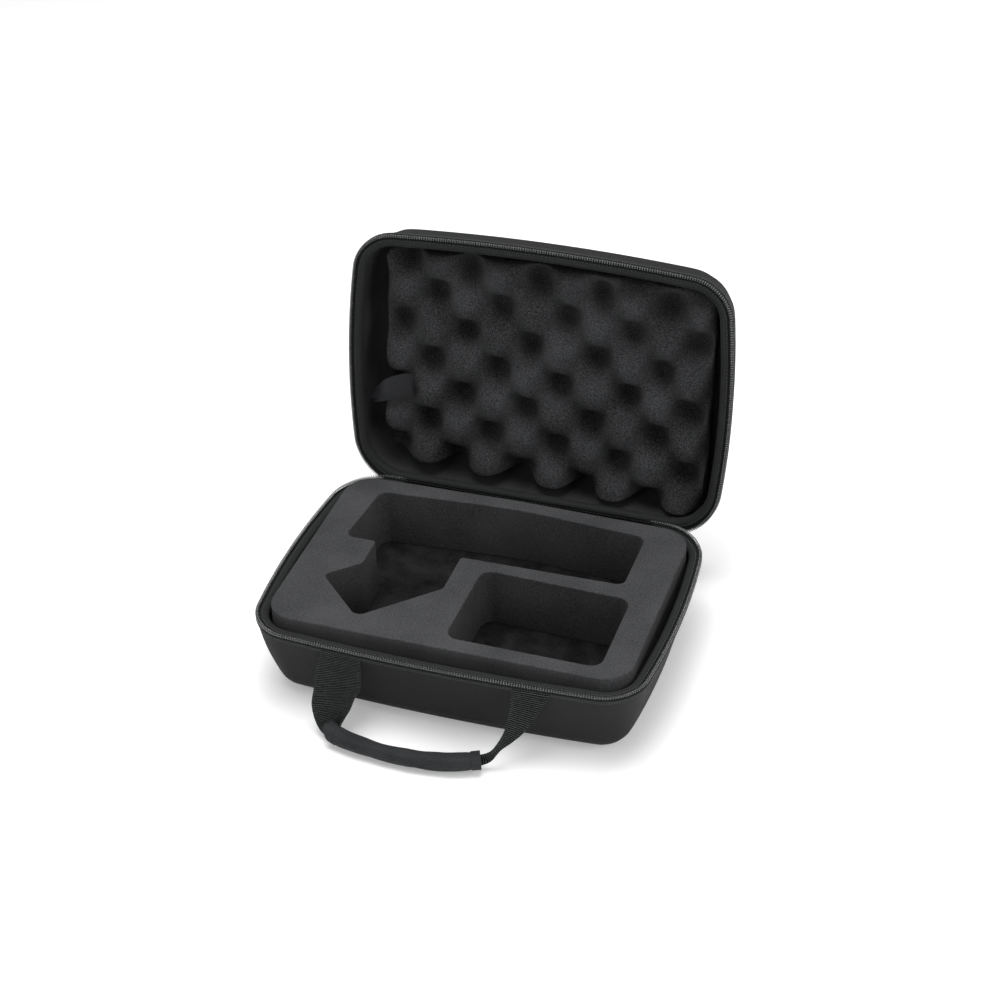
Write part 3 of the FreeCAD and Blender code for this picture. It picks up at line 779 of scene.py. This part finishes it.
# each strap's two edges from its seam down to the grip, and how far its middle bows out on the way
STRAPS = {
    "left": ([(-84.5, -103.2, 59.5), (-84.8, -104.5, 55), (-87.4, -107.9, 42.7), (-87.9, -112.1, 31.2),
              (-88.5, -116.7, 20.1), (-84.4, -122.1, 10.7), (-77, -128, 6), (-67, -131, 5.5)],
             [(-54.2, -104.3, 59.8), (-53.3, -107, 50.1), (-52.3, -112.3, 38.3), (-55.3, -115.2, 32.6),
              (-58, -119.3, 24.2), (-61.1, -122.1, 18.5), (-63.8, -125.6, 13.3), (-61, -128.5, 11.2)],
             (0.2, 0.4, 0.8, 1.4, 2.0, 3.0, 3.6)),
    "right": ([(57, -104.6, 59.5), (57, -106.5, 53), (57, -108.7, 46.1), (56.4, -111.8, 39.5),
               (55.3, -115.4, 32.3), (53.0, -120, 25.2), (49.8, -124.0, 18.9), (44.5, -124.6, 14.6),
               (38.5, -126.0, 12.6)],
              [(84, -103.2, 59.5), (83, -104.3, 55), (79.8, -105.7, 49.3), (74, -108.8, 39.5),
               (68.1, -112.3, 29.6), (60.0, -115.3, 20.8), (52.3, -117.6, 13.4), (47.0, -123.5, 7.0),
               (39.5, -128.0, 4.6)],
              (0.2, 0.4, 0.8, 1.2, 1.6, 1.6, 2.4)),
}
GRIP = [(-70.5, -128.4, 8.6), (-62, -131.4, 8), (-54.2, -133.5, 7.8), (-39.1, -135.8, 7.5),
        (-23.6, -137.3, 7.4), (-5, -136.7, 7.4), (13.2, -134.9, 7.5), (27, -131.5, 8), (40.6, -125.9, 8.4)]


GRIP_GIRTH = 42.0          # round the sleeve, for the weave
SLEEVE_LENGTH = 112.0


def tube_along(path, count, ring, name, skew=0.0):
    """Tube along a smooth path; ring(share, angle) gives the section's (sideways, up) offsets."""
    line, run = smooth_path(path, count)
    forward = unit(np.gradient(line, axis=0))
    upward = np.array([0, 0.35, 1.0])
    up = unit(upward - forward * (forward @ upward)[:, None])
    side = np.cross(forward, up)
    turn = np.linspace(0, 2 * math.pi, 40, endpoint=False)
    share = run / run[-1]
    out, rise = ring(share[:, None], turn[None, :])
    points = line[:, None, :] + side[:, None, :] * out[..., None] + up[:, None, :] * rise[..., None]
    slant = skew * np.clip(1 - share / 0.25, 0, 1)
    points += forward[:, None, :] * (slant[:, None] * rise)[..., None]
    uv = uv_grid(run, np.linspace(0, GRIP_GIRTH, len(turn) + 1))
    return grid_piece(name, points, uv, loop_cols=True, capped=True, sharp_deg=60)


def ridge(turn, wide):
    """1 along a line at angle 0, fading to both sides."""
    return np.exp(-(((turn + math.pi) % (2 * math.pi) - math.pi) / wide) ** 2)


def sleeve_ring(share, turn):
    """Section of the sewn sleeve: boxy, creased along its length, with hems standing out at both ends."""
    from_end = np.minimum(share, 1 - share) * SLEEVE_LENGTH
    waist = (1 - 0.13 * np.exp(-((share - 0.36) / 0.14) ** 2)
             + 0.05 * np.exp(-((share - 0.8) / 0.12) ** 2))
    hem = (1 + 0.07 * np.clip((7.0 - from_end) / 0.6, 0, 1)
           - 0.05 * np.exp(-((from_end - 7.2) / 0.7) ** 2))
    crease = (0.035 * np.sin(turn * 3 + 5 * share + 0.6) * np.sin(math.pi * share * 1.3 + 0.4)
              + 0.050 * np.sin(turn * 8 + 9 * share + 1.5 * np.sin(11 * share)) * np.sin(math.pi * share)
              + 0.012 * np.sin(turn * 2 + 40 * share))
    fold_line = -0.07 * ridge(turn - 0.9 - 0.7 * share, 0.13)
    seam = 0.10 * ridge(turn - 2.2, 0.12)
    boxy = (np.abs(np.cos(turn)) ** 3 + np.abs(np.sin(turn)) ** 3) ** (-1 / 3)
    size = hem * waist * boxy * (1 + crease + seam + fold_line)
    return 6.3 * np.cos(turn) * size, 5.3 * np.sin(turn) * size


def core_ring(share, turn):
    """Section of the folded webbing inside the sleeve."""
    size = (1 - 0.25 * np.exp(-((turn - 1.2) / 0.3) ** 2)) * np.ones_like(share)
    return 5.2 * np.cos(turn) * size, 4.0 * np.sin(turn) * size


def make_handle():
    for side, (left, right, curl) in STRAPS.items():
        strap = ribbon(f"strap_webbing_{side}", left, right, 1.5, 330, 17, curl, rib_pitch=RIB, rib=0.5)
        finish_piece(strap, None, "webbing", webbing_cloth, f"handle_strap_{side}", f"handle_anchor_{side}")
        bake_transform(strap)
    sleeve = tube_along(GRIP, 170, sleeve_ring, "grip_sleeve_cloth", -0.75)
    finish_piece(sleeve, "handle", "grip_fabric", sleeve_cloth, "handle_grip_sleeve")
    core = tube_along(GRIP[1:-1], 60, core_ring, "grip_core_webbing")
    finish_piece(core, "handle", "webbing", webbing_cloth, "handle_grip_core")


def make_hinge():
    """One cloth from the base's back wall, out over the fold and onto the lid's back wall."""
    half = corners_mm("hinge_strip")[1][0]
    hem_z = corners_mm("hinge_base_hem")[0][2]
    on_wall = half_w - WALL_INSET + 0.6
    path = [(on_wall - (rim_z - z) * BASE_SLOPE, z) for z in (hem_z, 45.5, 50.0)]
    path += [(fold[1] + 1.6, 51.9), (fold[1] + 6.0, 50.6), (fold[1] + 13.0, 48.6), (fold[1] + 20.0, 47.7)]
    lid_wall = [lid_place(np.array([0.0, on_wall - d * LID_SLOPE, -d])) for d in (11.5, 15.0, 20.0)]
    path += [(p[1], p[2]) for p in lid_wall]
    left = [(-half, y, z) for y, z in path]
    right = [(half, y, z) for y, z in path]
    cloth = ribbon("hinge_cloth_band", left, right, 0.9, 90, 60)
    finish_piece(cloth, None, "hinge_fabric", hinge_cloth, "hinge_strip", "hinge_base_hem")
    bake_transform(cloth)


# the ribbon's two edges, out over the pad and back under itself, as if the lid were a base
LABEL_UPPER = [(-139.0, 38.0, -15), (-132.0, 30.0, -11), (-123.7, 20.8, -6.6), (-114.1, 14.8, -5.2),
               (-105.0, 11.4, -4.8), (-98.9, 11.0, -5.2), (-98.9, 12.6, -6.0), (-105.5, 15.4, -6.3),
               (-115.5, 19.3, -6.6), (-126.1, 26.1, -8.5), (-136.8, 35.2, -13)]
LABEL_LOWER = [(-136.5, 39.5, -8), (-128.7, 36.4, -6.5), (-120.0, 33.3, -5.6), (-111.7, 30.9, -5.2),
               (-103.3, 28.9, -4.9), (-99.3, 28.3, -5.2), (-99.2, 30.4, -5.9), (-106.3, 33.0, -6.2),
               (-115.5, 35.6, -6.5), (-125.6, 39.2, -7.2), (-135.6, 42.8, -9)]


def make_label():
    """Blank satin ribbon, sewn in at the lid's left wall by both ends and lying flat on the pad."""
    edges = [[tuple(lid_place(np.array(p, float))) for p in line] for line in (LABEL_UPPER, LABEL_LOWER)]
    label = ribbon("label_ribbon", edges[0], edges[1], 0.28, 120, 12)
    finish_piece(label, "lid", "label_satin", satin_cloth, "label_tag")


def dress_hardware():
    """Sliders, pulls and stops keep their CAD meshes, in black enamel; the first two get softer edges."""
    for name, node in frame["nodes"].items():
        slides = name.startswith(("zip_slider", "zip_pull"))
        if slides or name.endswith("zip_stops"):
            node.data.materials.clear()
            node.data.materials.append(zip_enamel)
            if slides:
                soften = node.modifiers.new("soften", "BEVEL")
                soften.width = 0.22 * MM
                soften.segments = 2
                soften.angle_limit = math.radians(40)


# ---- camera, light and floor ----
def make_camera():
    """The photo's camera, from a fit to the two rims."""
    camera = bpy.data.cameras.new("camera")
    camera.lens = 80.71
    camera.sensor_width = 36.0
    holder = bpy.data.objects.new("camera", camera)
    right = Vector((0.948237, 0.316667, -0.023857))
    up = Vector((-0.164882, 0.555148, 0.815245))
    back = Vector((0.271405, -0.769112, 0.578625))
    turned = Matrix((right, up, back)).transposed().to_4x4()
    holder.matrix_world = Matrix.Translation((0.4436, -1.21223, 1.05041)) @ turned
    to_scene(holder)
    bpy.context.scene.camera = holder


def area_light(name, at, aim, size, power):
    light = bpy.data.lights.new(name, "AREA")
    light.shape = "RECTANGLE"
    light.size, light.size_y = size
    light.energy = power
    holder = bpy.data.objects.new(name, light)
    holder.location = at
    holder.rotation_euler = (Vector(aim) - Vector(at)).to_track_quat("-Z", "Y").to_euler()
    to_scene(holder)


def make_studio():
    middle = (0, 0.05, 0.1)
    area_light("top_softbox", (-0.1, 0.1, 1.8), middle, (1.5, 1.2), 34)
    area_light("front_softbox", (-0.9, -1.6, 1.5), middle, (1.4, 1.0), 5)
    area_light("right_softbox", (1.7, -0.4, 0.9), middle, (0.8, 1.2), 12)
    world = bpy.data.worlds.new("studio")
    world.use_nodes = True
    sky = world.node_tree.nodes["Background"]
    sky.inputs["Color"].default_value = (1, 1, 1, 1)
    sky.inputs["Strength"].default_value = 0.3
    bpy.context.scene.world = world
    bpy.context.scene.view_settings.view_transform = "Standard"
    floor_mesh = bpy.data.meshes.new("floor")
    reach, floor_z = 6.0, -0.0004
    signs = ((-1, -1), (1, -1), (1, 1), (-1, 1))
    floor_mesh.from_pydata([(i * reach, j * reach, floor_z) for i, j in signs], [], [(0, 1, 2, 3)])
    floor = bpy.data.objects.new("floor", floor_mesh)
    sh = Shader("floor_paper", 0.9, specular=0.1)
    sh.surface.inputs["Emission Color"].default_value = (1, 1, 1, 1)
    sh.surface.inputs["Emission Strength"].default_value = 0.26
    floor_mesh.materials.append(sh.finish(sh.mix(sh.noise(3.0), (0.86, 0.86, 0.86), (0.9, 0.9, 0.9))))
    to_scene(floor)


make_camera()
make_studio()
make_shells()
make_rims()
make_insert()
make_pad()
make_handle()
make_hinge()
make_label()
dress_hardware()
